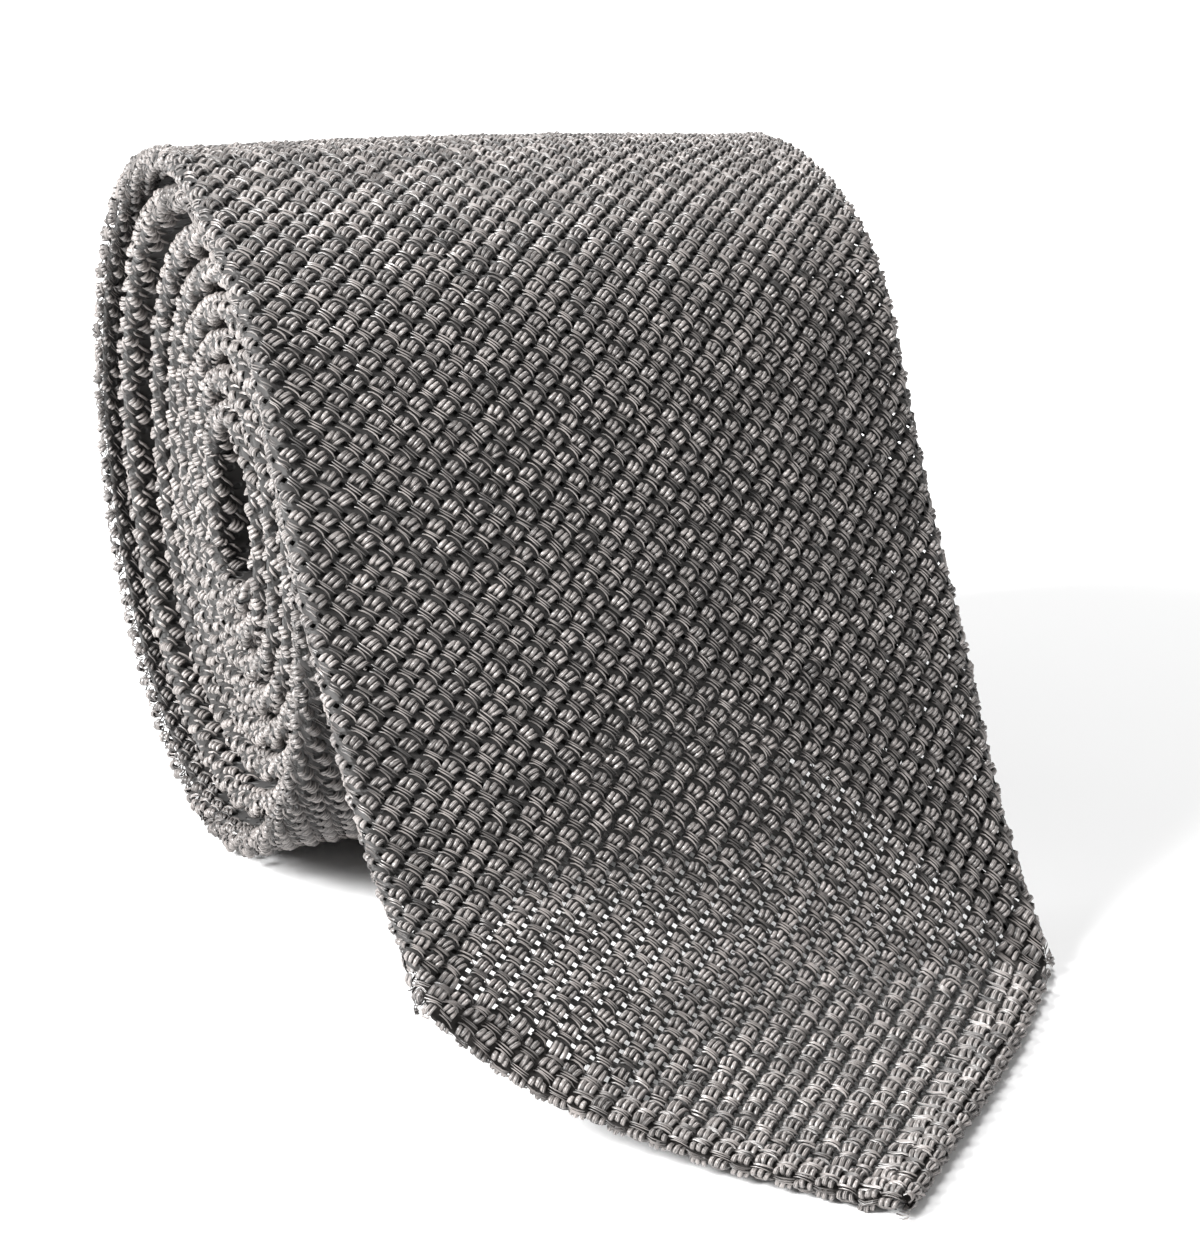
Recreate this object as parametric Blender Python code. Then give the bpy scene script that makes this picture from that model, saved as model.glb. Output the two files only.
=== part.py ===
# A grenadine tie, rolled up from its narrow tail, with the wide blade drawn out over the
# top of the roll and down in front until its pointed tip lies on the surface.
# Metres, +Z up. X runs along the roll, across the cloth. The tip points towards -Y.
# The whole tie follows one path from the blade's tip to the tail's tip in the core. A point of
# the cloth has a distance s along that path, a place x across it and a depth below its face.

import math

import bmesh
import bpy
import numpy as np
from mathutils import Vector

# Cloth
BLADE_WIDTH = 0.080
TIE_LENGTH = 1.465
CLOTH = 0.0013
LAYER_GAP = 0.0004
SEAM_GAP = 0.0003

# Blade tip, with hand-rolled hems
TIP_LENGTH = 0.040
HEM_WIDTH = 0.0052
HEM_THICKNESS = 0.0026
HEM_PROUD = 0.0005
FOLD_LIP = 0.0021
EDGE_ROUND = 0.0010
TIP_INSET = 0.0012
FLAP_INSET = 0.0020
RING_GAP = 0.0004

# Panels, from the blade's tip inwards
BLADE_LENGTH = 0.600
NECK_LENGTH = 0.410
TAIL_TIP_LENGTH = 0.024
TAIL_TIP_SHARE = 0.06

# Roll
ROLL_HEIGHT = 0.0847
ROLL_DEPTH = 0.0855
WRAP_GAP_DEEP = 0.0018
WRAP_GAP_HIGH = 0.0012
CORE_GAP = 0.0030
REST_FLAT = 0.0005
END_DROOP = 0.0043
WRAPS_TO_LEFT = 0.72

# Fineness of the solids
STATIONS_PER_TURN = 24
DRAPE_STEP = 0.0072

FOLDED = 2 * CLOTH + LAYER_GAP
HALF_BLADE = BLADE_WIDTH / 2

# The blade in front of the roll, from its tip to the top of the roll: share of that stretch,
# slope in degrees, and how far the cloth's two long edges stand off its middle line, as
# shares of the blade's width (left) and of the roll's own droop (right).
DRAPE_COLUMNS = ("share", "slope", "left_lift", "right_drop")
DRAPE_ROWS = (
    (0.00, 1.0, 0.000, 0.00),
    (0.10, 6.0, -0.014, 0.80),
    (0.19, 18.5, 0.004, 1.58),
    (0.26, 32.0, 0.070, 2.42),
    (0.32, 40.0, 0.074, 2.00),
    (0.39, 52.0, 0.032, 1.78),
    (0.46, 56.0, 0.000, 1.56),
    (0.58, 55.0, -0.034, 1.60),
    (0.70, 58.0, -0.036, 1.46),
    (0.78, 46.0, -0.028, 1.12),
    (0.85, 27.0, -0.016, 0.98),
    (0.92, 12.0, 0.004, 0.96),
    (1.00, 0.0, 0.035, 1.00),
)

# The wraps of the roll behind and below it: share of a turn from the top, over the back, with
# the same two edges in the same shares.
WRAP_COLUMNS = ("turn", "left_lift", "right_drop")
WRAP_ROWS = (
    (0.00, 0.035, 1.00),
    (0.08, 0.026, 0.94),
    (0.17, 0.008, 0.77),
    (0.25, 0.000, 0.56),
    (0.35, 0.000, 0.30),
    (0.50, 0.000, 0.12),
    (0.65, 0.000, 0.40),
    (0.75, -0.012, 0.84),
    (0.84, -0.026, 1.10),
    (0.91, -0.018, 1.04),
    (0.96, 0.006, 1.00),
    (1.00, 0.035, 1.00),
)

# Width of the cloth along the tie: share of its length, share of the blade's width
WIDTH_COLUMNS = ("share", "width")
WIDTH_ROWS = (
    (0.00, 1.00),
    (0.13, 1.00),
    (0.22, 0.94),
    (0.34, 0.78),
    (0.46, 0.58),
    (0.56, 0.50),
    (0.80, 0.52),
    (1.00, 0.60),
)

# Section of a rolled hem, in shares of its width and of its thickness
HEM_COLUMNS = ("across", "down")
HEM_ROWS = (
    (0.00, 0.45),
    (0.12, 0.12),
    (0.42, 0.00),
    (0.80, 0.10),
    (1.00, 0.40),
    (0.92, 0.85),
    (0.50, 1.00),
    (0.12, 0.86),
)

SILK = (0.205, 0.182, 0.170)
SILK_ROUGHNESS = 0.52


def column(rows, names, name):
    return [row[names.index(name)] for row in rows]


def read(rows, names, name, share):
    return float(np.interp(share, column(rows, names, names[0]), column(rows, names, name)))


def drape_path():
    """Places along the blade's drape, which rises to the roll's full height."""
    steps = 240
    shares = (np.arange(steps) + 0.5) / steps
    slopes = np.radians([read(DRAPE_ROWS, DRAPE_COLUMNS, "slope", share) for share in shares])
    lift = HEM_THICKNESS - HEM_PROUD
    length = (ROLL_HEIGHT - lift) / np.sin(slopes).mean()
    step = length / steps
    ends = np.arange(steps + 1) / steps
    droop = END_DROOP * np.array([read(DRAPE_ROWS, DRAPE_COLUMNS, "right_drop", e) for e in ends])
    raised = BLADE_WIDTH * np.array([read(DRAPE_ROWS, DRAPE_COLUMNS, "left_lift", e) for e in ends])
    return {
        "s": ends * length,
        "y": np.concatenate([[0.0], np.cumsum(np.cos(slopes)) * step]),
        "z": lift + np.concatenate([[0.0], np.cumsum(np.sin(slopes)) * step]),
        "left": raised,
        "right": -droop,
        "turn": np.full(steps + 1, -1.0),
    }


def roll_path(drape):
    """Places along the spiral, which starts at the top of the roll and winds inwards."""
    pitch_deep = FOLDED + WRAP_GAP_DEEP
    pitch_high = FOLDED + WRAP_GAP_HIGH
    radius = (ROLL_DEPTH + pitch_deep / 2) / 2
    upright = (ROLL_HEIGHT + REST_FLAT + pitch_high / 2) / 2 - radius
    centre_y = drape["y"][-1]
    centre_z = ROLL_HEIGHT - radius - upright
    turns = (radius - FOLDED - CORE_GAP / 2) / pitch_deep
    angle = np.arange(1, int(turns * 360)) * math.pi / 180
    wound = angle / (2 * math.pi)
    around = radius - pitch_deep * wound
    straight = upright + (pitch_deep - pitch_high) * wound
    y = centre_y + around * np.sin(angle)
    z = centre_z + around * np.cos(angle) + straight * np.clip(np.cos(angle) / 0.26, -1, 1)
    before_y = np.concatenate([[drape["y"][-1]], y[:-1]])
    before_z = np.concatenate([[drape["z"][-1]], z[:-1]])
    turn = wound % 1.0
    raised = BLADE_WIDTH * np.array([read(WRAP_ROWS, WRAP_COLUMNS, "left_lift", t) for t in turn])
    droop = END_DROOP * np.array([read(WRAP_ROWS, WRAP_COLUMNS, "right_drop", t) for t in turn])
    return {
        "s": drape["s"][-1] + np.cumsum(np.hypot(y - before_y, z - before_z)),
        "y": y,
        "z": z,
        "left": raised * around / radius,
        "right": -droop * around / radius,
        "turn": wound,
    }


def tie_path():
    drape = drape_path()
    roll = roll_path(drape)
    path = {key: np.concatenate([drape[key], roll[key]]) for key in drape}
    slope = np.unwrap(np.arctan2(np.gradient(path["z"]), np.gradient(path["y"])))
    path["slope"] = slope
    middle = (path["y"].min() + path["y"].max()) / 2
    path["y"] = path["y"] - middle
    path["top"] = drape["s"][-1]
    return path


PATH = tie_path()
END = min(TIE_LENGTH, float(PATH["s"][-1]))


def on_path(key, s):
    return float(np.interp(s, PATH["s"], PATH[key]))


def half_width(s):
    return HALF_BLADE * read(WIDTH_ROWS, WIDTH_COLUMNS, "width", s / TIE_LENGTH)


def sideways(s):
    """Narrow wraps are rolled flush towards the left end, where they stay a little sunk."""
    return -WRAPS_TO_LEFT * (HALF_BLADE - half_width(s))


def cloth_point(s, x, depth):
    """World place of a point of the cloth, at x across it and at a depth below its face."""
    slope = on_path("slope", s)
    left, right = on_path("left", s), on_path("right", s)
    across = x / HALF_BLADE
    off = (right - left) / 2 * across + (right + left) / 2 * across**2 - depth
    y = on_path("y", s) - math.sin(slope) * off
    z = on_path("z", s) + math.cos(slope) * off
    return Vector((x + sideways(s), y, max(z, 0.0)))


def stations(start, end):
    """Distances of the sections between two places: even steps, then even turns of the roll."""
    found = [start]
    count = max(1, round((min(end, PATH["top"]) - start) / DRAPE_STEP))
    if start < PATH["top"]:
        reach = min(end, PATH["top"]) - start
        found += [start + reach * (i + 1) / count for i in range(count)]
    turns = np.arange(0.5, PATH["turn"].max() * STATIONS_PER_TURN) / STATIONS_PER_TURN
    found += [float(s) for s in np.interp(turns, PATH["turn"][PATH["turn"] > 0], PATH["s"][PATH["turn"] > 0])]
    kept = [s for s in found if start <= s <= end - 0.25 * DRAPE_STEP * min(1, on_turn_size(s))]
    return kept + [end]


def on_turn_size(s):
    """1 on the drape and the outer wraps, less where the wraps are small."""
    turns_left = PATH["turn"].max() - on_path("turn", s)
    return min(1.0, 0.15 + turns_left / 8)


def even(start, end, count):
    return [start + (end - start) * i / (count - 1) for i in range(count)]


def silk(name):
    material = bpy.data.materials.new(name + "_silk")
    material.use_nodes = True
    shader = material.node_tree.nodes["Principled BSDF"]
    shader.inputs["Base Color"].default_value = (*SILK, 1)
    shader.inputs["Roughness"].default_value = SILK_ROUGHNESS
    shader.inputs["Metallic"].default_value = 0.0
    return material


def loft(name, rings):
    """One closed solid through rings of as many points each, with both ends filled."""
    mesh = bpy.data.meshes.new(name)
    bm = bmesh.new()
    loops = [[bm.verts.new(point) for point in ring] for ring in rings]
    for near, far in zip(loops, loops[1:]):
        for i in range(len(near)):
            j = (i + 1) % len(near)
            bm.faces.new((near[i], near[j], far[j], far[i]))
    bm.faces.new(loops[0])
    bm.faces.new(list(reversed(loops[-1])))
    bmesh.ops.recalc_face_normals(bm, faces=bm.faces)
    for face in bm.faces:
        face.smooth = True
    bm.to_mesh(mesh)
    bm.free()
    piece = bpy.data.objects.new(name, mesh)
    piece.data.materials.append(silk(name))
    bpy.context.scene.collection.objects.link(piece)
    return piece


# Across the cloth, the two rolled edges of the tip take their own strip.
TIP_SLOPE = TIP_LENGTH / HALF_BLADE
EDGE_TO_S = math.hypot(1.0, TIP_SLOPE)
HEM_STRIP = (HEM_WIDTH + SEAM_GAP) * EDGE_TO_S


def face_half(s):
    """Half the width of the blade's face, which stops at the hems in the tip."""
    return min((s - HEM_STRIP) / TIP_SLOPE, half_width(s))


def blade_ring(s):
    """The face of the blade with its two folded edges, whose lips turn in behind it."""
    half = face_half(s)
    folded = half > half_width(s) - 1e-6
    back = FOLDED if folded else CLOTH
    lip = FOLD_LIP if folded else min(FOLD_LIP, half / 3)
    round_off = min(EDGE_ROUND, half / 4)
    face = even(-half + round_off, half - round_off, 9)
    inner = even(half - lip, -half + lip, 7)
    points = [(x, 0.0) for x in face]
    points += [(half, back / 2), (half - round_off, back), (half - lip * 0.9, back)]
    points += [(x, CLOTH) for x in inner]
    points += [(-half + lip * 0.9, back), (-half + round_off, back), (-half, back / 2)]
    if not folded:
        points = [(x, d * 0.999 if d == back and abs(x) < half - lip * 0.5 else d) for x, d in points]
    return [cloth_point(s, x, depth) for x, depth in points]


def build_blade():
    start = HEM_STRIP + TIP_INSET * TIP_SLOPE
    full = HEM_STRIP + TIP_LENGTH
    rings = [blade_ring(s) for s in even(start, full - RING_GAP, 7)]
    rings += [blade_ring(s) for s in stations(full + RING_GAP, BLADE_LENGTH)]
    return loft("blade", rings)


def flap_ring(s, side):
    """One of the two flaps folded behind the blade, which open towards the tip in a V."""
    outer = half_width(s) - FOLD_LIP - SEAM_GAP
    inner = max(SEAM_GAP / 2, (2 * TIP_LENGTH + HEM_STRIP - s) / TIP_SLOPE)
    top = CLOTH + LAYER_GAP
    across = even(inner, outer, 5)
    points = [(x, top) for x in across] + [(x, FOLDED) for x in reversed(across)]
    return [cloth_point(s, side * x, depth) for x, depth in points]


def build_flap(name, side):
    outer = HALF_BLADE - FOLD_LIP - SEAM_GAP
    start = 2 * TIP_LENGTH + HEM_STRIP - (outer - FLAP_INSET) * TIP_SLOPE
    rings = [flap_ring(s, side) for s in stations(start, BLADE_LENGTH)]
    return loft(name, rings)


def hem_ring(x, side, s_edge, depth):
    """A rolled hem cut straight across the tie, at x from its middle line."""
    ring = []
    for across, down in HEM_ROWS:
        s = s_edge + across * HEM_WIDTH * EDGE_TO_S
        ring.append(cloth_point(s, side * x, depth + down * HEM_THICKNESS))
    return ring


def build_tip_hem(name, side):
    places = even(SEAM_GAP / 2, HALF_BLADE, 13)
    return loft(name, [hem_ring(x, side, x * TIP_SLOPE, -HEM_PROUD) for x in places])


def build_flap_hem(name, side):
    places = even(SEAM_GAP, HALF_BLADE - FOLD_LIP - 2 * SEAM_GAP, 12)
    rings = [hem_ring(x, side, 2 * TIP_LENGTH - x * TIP_SLOPE, CLOTH + LAYER_GAP) for x in places]
    return loft(name, rings)


def band_ring(s, half):
    """The folded cloth of the neck and the tail, with soft edges."""
    round_off = min(EDGE_ROUND, half / 3)
    across = even(-half + round_off, half - round_off, 5)
    points = [(x, 0.0) for x in across] + [(half, FOLDED / 2)]
    points += [(x, FOLDED) for x in reversed(across)] + [(-half, FOLDED / 2)]
    return [cloth_point(s, x, depth) for x, depth in points]


def build_neck():
    start = BLADE_LENGTH + SEAM_GAP
    rings = [band_ring(s, half_width(s)) for s in stations(start, BLADE_LENGTH + NECK_LENGTH)]
    return loft("neck", rings)


def tail_half(s):
    """The tail narrows to its own point at the end of the tie."""
    return half_width(s) * min(1.0, (END - s) / TAIL_TIP_LENGTH + TAIL_TIP_SHARE)


def build_tail():
    start = BLADE_LENGTH + NECK_LENGTH + SEAM_GAP
    rings = [band_ring(s, tail_half(s)) for s in stations(start, END - TAIL_TIP_LENGTH)]
    rings += [band_ring(s, tail_half(s)) for s in even(END - TAIL_TIP_LENGTH * 0.9, END, 9)]
    return loft("tail", rings)


def build_tie():
    for old in list(bpy.data.objects):
        bpy.data.objects.remove(old)
    build_blade()
    for side, hand in ((-1, "left"), (1, "right")):
        build_flap("blade_flap_" + hand, side)
        build_tip_hem("tip_hem_" + hand, side)
        build_flap_hem("flap_hem_" + hand, side)
    build_neck()
    build_tail()


build_tie()
print("tie length", round(END, 4), "turns", round(float(PATH["turn"].max()), 2), "top at", round(PATH["top"], 4))
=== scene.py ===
import math

import bmesh
import bpy
import numpy as np
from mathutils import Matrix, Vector


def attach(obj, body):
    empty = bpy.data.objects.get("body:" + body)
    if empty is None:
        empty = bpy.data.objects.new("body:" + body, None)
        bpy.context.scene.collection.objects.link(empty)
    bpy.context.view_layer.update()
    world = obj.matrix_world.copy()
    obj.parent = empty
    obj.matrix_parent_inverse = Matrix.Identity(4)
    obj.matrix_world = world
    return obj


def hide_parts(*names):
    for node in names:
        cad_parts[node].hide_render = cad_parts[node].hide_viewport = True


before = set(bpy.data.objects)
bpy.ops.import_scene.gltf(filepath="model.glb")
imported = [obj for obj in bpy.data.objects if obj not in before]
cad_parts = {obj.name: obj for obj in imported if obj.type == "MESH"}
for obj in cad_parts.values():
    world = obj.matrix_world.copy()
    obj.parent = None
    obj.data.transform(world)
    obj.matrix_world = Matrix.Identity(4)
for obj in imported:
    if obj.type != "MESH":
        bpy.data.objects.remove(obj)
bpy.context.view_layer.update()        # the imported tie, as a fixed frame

print("frame loaded:", len(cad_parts), "nodes")

# The rolled tie. A point of the cloth has a distance s along the tie from the blade's tip, a
# place x across it and a depth below its outer face. Metres throughout.
tie = {
    "bladeWidth": 0.080,
    "length": 1.465,
    "folded": 0.0030,          # thickness of front and flaps together
    "bladeEnd": 0.600,
    "neckEnd": 1.010,
    "tailTip": 0.024,
    "tailBlunt": 0.06,         # share of the width left at the very end
    "tailLeast": 0.02,
    "seam": 0.0003,
    "hemThick": 0.0026,
    "hemProud": 0.0005,
    "flapHemProud": 0.0013,
    "rollHeight": 0.0847,
    "rollDepth": 0.0855,
    "gapDeep": 0.0018,
    "gapHigh": 0.0012,
    "coreGap": 0.0030,
    "restFlat": 0.0005,
    "droop": 0.0043,
    "sideRound": 0.26,         # how gradually the rounds of a wrap pass into its upright sides
    "wrapsToLeft": 0.72,
    "yarnSpread": 1.012,       # the yarns stand a little proud of the cloth's folded edges
    "edgeSwell": 0.00038,      # the folded edges are a little fatter than the cloth between them
    "swellReach": 0.0045,
    "flapReach": 0.004,        # the hems reach the flaps' height this far past the fold
    "floorGap": 0.0001,
}
halfBlade = tie["bladeWidth"] / 2
root2 = math.sqrt(2)

# The blade in front of the roll, tip first: share of the stretch, slope in degrees, lift of the
# left edge and drop of the right edge.
drapeRows = np.array([
    (0.00, 1.0, 0.000, 0.00),
    (0.10, 6.0, -0.014, 0.80),
    (0.19, 18.5, 0.004, 1.58),
    (0.26, 32.0, 0.070, 2.42),
    (0.32, 40.0, 0.074, 2.00),
    (0.39, 52.0, 0.032, 1.78),
    (0.46, 56.0, 0.000, 1.56),
    (0.58, 55.0, -0.034, 1.60),
    (0.70, 58.0, -0.036, 1.46),
    (0.78, 46.0, -0.028, 1.12),
    (0.85, 27.0, -0.016, 0.98),
    (0.92, 12.0, 0.004, 0.96),
    (1.00, 0.0, 0.035, 1.00),
])

# The wraps of the roll: share of a turn from the top over the back, lift of the left edge and
# drop of the right edge.
wrapRows = np.array([
    (0.00, 0.035, 1.00),
    (0.08, 0.026, 0.94),
    (0.17, 0.008, 0.77),
    (0.25, 0.000, 0.56),
    (0.35, 0.000, 0.30),
    (0.50, 0.000, 0.12),
    (0.65, 0.000, 0.40),
    (0.75, -0.012, 0.84),
    (0.84, -0.026, 1.10),
    (0.91, -0.018, 1.04),
    (0.96, 0.006, 1.00),
    (1.00, 0.035, 1.00),
])

# Width of the cloth along the tie: share of its length, share of the blade's width.
widthRows = np.array([
    (0.00, 1.00), (0.13, 1.00), (0.22, 0.94), (0.34, 0.78),
    (0.46, 0.58), (0.56, 0.50), (0.80, 0.52), (1.00, 0.60),
])


def drapePath():
    steps = 240
    shares = (np.arange(steps) + 0.5) / steps
    slopes = np.radians(np.interp(shares, drapeRows[:, 0], drapeRows[:, 1]))
    lift = tie["hemThick"] - tie["hemProud"]
    length = (tie["rollHeight"] - lift) / np.sin(slopes).mean()
    ends = np.arange(steps + 1) / steps
    return {
        "s": ends * length,
        "y": np.concatenate([[0.0], np.cumsum(np.cos(slopes)) * length / steps]),
        "z": lift + np.concatenate([[0.0], np.cumsum(np.sin(slopes)) * length / steps]),
        "left": tie["bladeWidth"] * np.interp(ends, drapeRows[:, 0], drapeRows[:, 2]),
        "right": -tie["droop"] * np.interp(ends, drapeRows[:, 0], drapeRows[:, 3]),
    }


def rollPath(drape):
    pitchDeep = tie["folded"] + tie["gapDeep"]
    pitchHigh = tie["folded"] + tie["gapHigh"]
    radius = (tie["rollDepth"] + pitchDeep / 2) / 2
    upright = (tie["rollHeight"] + tie["restFlat"] + pitchHigh / 2) / 2 - radius
    turns = (radius - tie["folded"] - tie["coreGap"] / 2) / pitchDeep
    angle = np.arange(1, int(turns * 360)) * math.pi / 180
    wound = angle / (2 * math.pi)
    around = radius - pitchDeep * wound
    straight = upright + (pitchDeep - pitchHigh) * wound
    y = drape["y"][-1] + around * np.sin(angle)
    z = tie["rollHeight"] - radius - upright + around * np.cos(angle)
    z = z + straight * np.clip(np.cos(angle) / tie["sideRound"], -1, 1)
    stepY = np.diff(np.concatenate([[drape["y"][-1]], y]))
    stepZ = np.diff(np.concatenate([[drape["z"][-1]], z]))
    return {
        "s": drape["s"][-1] + np.cumsum(np.hypot(stepY, stepZ)),
        "y": y,
        "z": z,
        "left": tie["bladeWidth"] * np.interp(wound % 1, wrapRows[:, 0], wrapRows[:, 1]) * around / radius,
        "right": -tie["droop"] * np.interp(wound % 1, wrapRows[:, 0], wrapRows[:, 2]) * around / radius,
    }


def tiePath():
    drape = drapePath()
    roll = rollPath(drape)
    path = {key: np.concatenate([drape[key], roll[key]]) for key in drape}
    path["slope"] = np.unwrap(np.arctan2(np.gradient(path["z"]), np.gradient(path["y"])))
    path["y"] = path["y"] - (path["y"].min() + path["y"].max()) / 2
    return path


path = tiePath()
tieEnd = min(tie["length"], float(path["s"][-1]))


def along(key, s):
    return np.interp(s, path["s"], path[key])


def halfWidth(s):
    wide = halfBlade * np.interp(s / tie["length"], widthRows[:, 0], widthRows[:, 1])
    return wide * np.clip((tieEnd - s) / tie["tailTip"] + tie["tailBlunt"], tie["tailLeast"], 1.0)


def sideways(s):
    wide = halfBlade * np.interp(s / tie["length"], widthRows[:, 0], widthRows[:, 1])
    return -tie["wrapsToLeft"] * (halfBlade - wide)


def ontoPath(s, x, depth):
    slope = along("slope", s)
    left, right, across = along("left", s), along("right", s), x / halfBlade
    off = (right - left) / 2 * across + (right + left) / 2 * across**2 - depth
    y = along("y", s) - np.sin(slope) * off
    z = along("z", s) + np.cos(slope) * off
    return np.stack([x * tie["yarnSpread"] + sideways(s), y, np.maximum(z, tie["floorGap"])], axis=-1)


# How far the cloth over a hem stands below the face of the blade, by the distance from the edge.
hemRows = np.array([
    (0.0013, -0.00050), (0.0024, -0.00050), (0.0038, -0.00036), (0.0046, -0.00008),
    (0.0053, 0.00034), (0.0058, 0.00030), (0.0068, 0.0),
])
hemCover = 0.0050            # the ground stops here, where the rolled cloth lies behind the yarns


def hemTurn(p, proud):
    r = tie["hemThick"] / 2
    smooth = 0.0003
    top = np.interp(p, hemRows[:, 0], hemRows[:, 1])
    top = (top + np.interp(p - smooth, hemRows[:, 0], hemRows[:, 1])
           + np.interp(p + smooth, hemRows[:, 0], hemRows[:, 1])) / 3
    top = np.where(top < 0, top * proud / tie["hemProud"], top)
    turn = np.clip((r - p) / r, 0, math.pi)
    under = np.maximum(r - math.pi * r - p, 0)
    over = np.maximum(p, r) - r * np.sin(turn) + under
    deep = np.where(p > r, top, -proud + r - r * np.cos(turn))
    return over, deep


# The mesh of the weave is drawn out at the blade's left edge and drawn in at its right edge.
pullRows = np.array([(-0.040, 1.22), (-0.020, 1.10), (0.005, 1.0), (0.040, 0.87)])
pullStart, pullLong = 0.042, 0.035      # it sets in gradually, from here along the tie
pullX = np.linspace(-0.041, 0.041, 83)
pullShift = np.concatenate([[0.0], np.cumsum(
    (1 / np.interp((pullX[1:] + pullX[:-1]) / 2, pullRows[:, 0], pullRows[:, 1]) - 1) * np.diff(pullX))])
pullShift = pullShift - np.interp(0.0, pullX, pullShift)
pullX = np.concatenate([[-0.055], pullX, [0.055]])
pullShift = np.concatenate([[0.0], pullShift, [0.0]])


def unpull(across, s):
    grown = np.clip((s - pullStart) / pullLong, 0, 1)
    grown = grown * grown * (3 - 2 * grown)
    x = across
    for _ in range(4):
        x = across - grown * np.interp(x, pullX, pullShift)
    return x


def sideTurn(x, s):
    r = tie["folded"] / 2
    flat = np.maximum(halfWidth(s) - r, 0.0002)
    far = np.abs(x)
    turn = np.clip((far - flat) / r, 0, math.pi)
    beyond = np.maximum(far - flat - math.pi * r, 0)
    away = np.maximum(flat - far, beyond)
    full = r + tie["edgeSwell"] * np.clip(1 - away / tie["swellReach"], 0, 1) ** 2
    place = np.minimum(far, flat) + full * np.sin(turn) - beyond
    return np.sign(x) * place, r - full * np.cos(turn), np.cos(turn)


# A point of the outer face of the folded cloth, by its distances along the two directions of
# the yarns from the blade's tip: u towards the upper right, v towards the lower right.
def facePoint(u, v):
    flatS = (u - v) / root2
    flatX = (u + v) / root2
    behind = np.clip((np.abs(flatX) - halfWidth(flatS)) / tie["flapReach"], 0, 1)
    proud = tie["hemProud"] + (tie["flapHemProud"] - tie["hemProud"]) * behind
    fromLeft, deepLeft = hemTurn(u, proud)
    fromRight, deepRight = hemTurn(-v, proud)
    s = (fromLeft + fromRight) / root2
    across = unpull((fromLeft - fromRight) / root2, s)
    x, deepFold, facing = sideTurn(across, s)
    return ontoPath(s, x, deepFold + facing * (deepLeft + deepRight))


def clothPoint(u, v, depth):
    step = 0.00006
    place = facePoint(u, v)
    alongU = facePoint(u + step, v) - facePoint(u - step, v)
    alongV = facePoint(u, v + step) - facePoint(u, v - step)
    normal = np.cross(alongV, alongU)
    normal /= np.maximum(np.linalg.norm(normal, axis=-1, keepdims=True), 1e-12)
    world = place - normal * depth[..., None]
    world[..., 2] = np.maximum(world[..., 2], tie["floorGap"])
    return world


# The open gauze weave: blocks of short thick strands and twists of fine yarn, in turn.
weave = {
    "half": 0.00133,           # from a block to the twist below it, along the thick strands
    "column": 0.00235,         # from one column to the next
    "margin": 0.02,            # the lattice is laid out this far past a zone's ends
    "beyond": 0.012,           # and past the blade's width
    "startU": 0.0006,          # the first row and the first column, from the tip
    "startV": 0.0004,
    "hole": 0.00054,
    "hemReach": 0.0060,        # the blocks are larger and higher over the rolled hems
    "hemGrown": 1.12,
    "hemRaised": 0.00008,
    "foldMiddle": 0.0012,      # the middle of a folded edge, past half the blade's width
    "foldReach": 0.0048,
    "cornerReach": 0.0020,     # where a hem meets a folded edge the blocks are smaller
    "cornerShrunk": 0.86,
    "cornerNear": 0.0048,      # and the strands stay near the surface there and at the tip
    "cornerDeep": 0.00028,
    "tipNear": 0.0026,
    "rim": 0.0008,             # no block lies on the rim where two folds meet, or on the very tip
    "rimGap": 0.0010,
    "tipGap": 0.0010,
    "seamGap": 0.0012,         # from the last blocks to the seam behind
    "groundDeep": 0.00090,
    "foldRaised": 0.00042,     # the ground comes up between the blocks where the cloth folds
    "foldPast": 0.0008,
    "foldEase": 0.0012,
    "unevenTurn": 0.06,        # small differences from block to block and from strand to strand
    "unevenShift": 0.00005,
    "unevenDeep": 0.00004,
    "unevenStrand": (0.000055, 0.000035, 0.000035),
    "unevenTilt": 0.10,
}


# Each yarn: its places (u, v, depth) in mm about the block's middle, width and height in mm.
blockYarns = [
    ([(-0.74, -0.71, 0.86), (-0.42, -0.67, 0.20), (0.02, -0.61, 0.02),
      (0.44, -0.55, 0.20), (0.74, -0.51, 0.86)], 0.62, 0.36),
    ([(-0.58, -0.10, 0.86), (-0.26, -0.05, 0.08), (0.18, 0.00, -0.09),
      (0.58, 0.06, 0.10), (0.88, 0.10, 0.86)], 0.64, 0.40),
    ([(-0.80, 0.50, 0.86), (-0.48, 0.55, 0.20), (-0.04, 0.61, 0.02),
      (0.38, 0.67, 0.20), (0.68, 0.72, 0.86)], 0.60, 0.36),
]
twistYarns = [
    ([(-0.80, -0.98, 0.56), (-0.90, -0.35, 0.26), (-0.93, 0.38, 0.26),
      (-0.93, 1.00, 0.54)], 0.16, 0.20),
    ([(-1.05, -1.00, 0.54), (-1.16, -0.38, 0.24), (-1.20, 0.35, 0.24),
      (-1.20, 1.00, 0.54)], 0.16, 0.20),
    ([(-1.48, -0.92, 0.66), (-1.42, -0.45, 0.34), (-1.45, 0.15, 0.34),
      (-1.60, 0.72, 0.38), (-1.90, 1.26, 0.70)], 0.20, 0.22),
]
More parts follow.
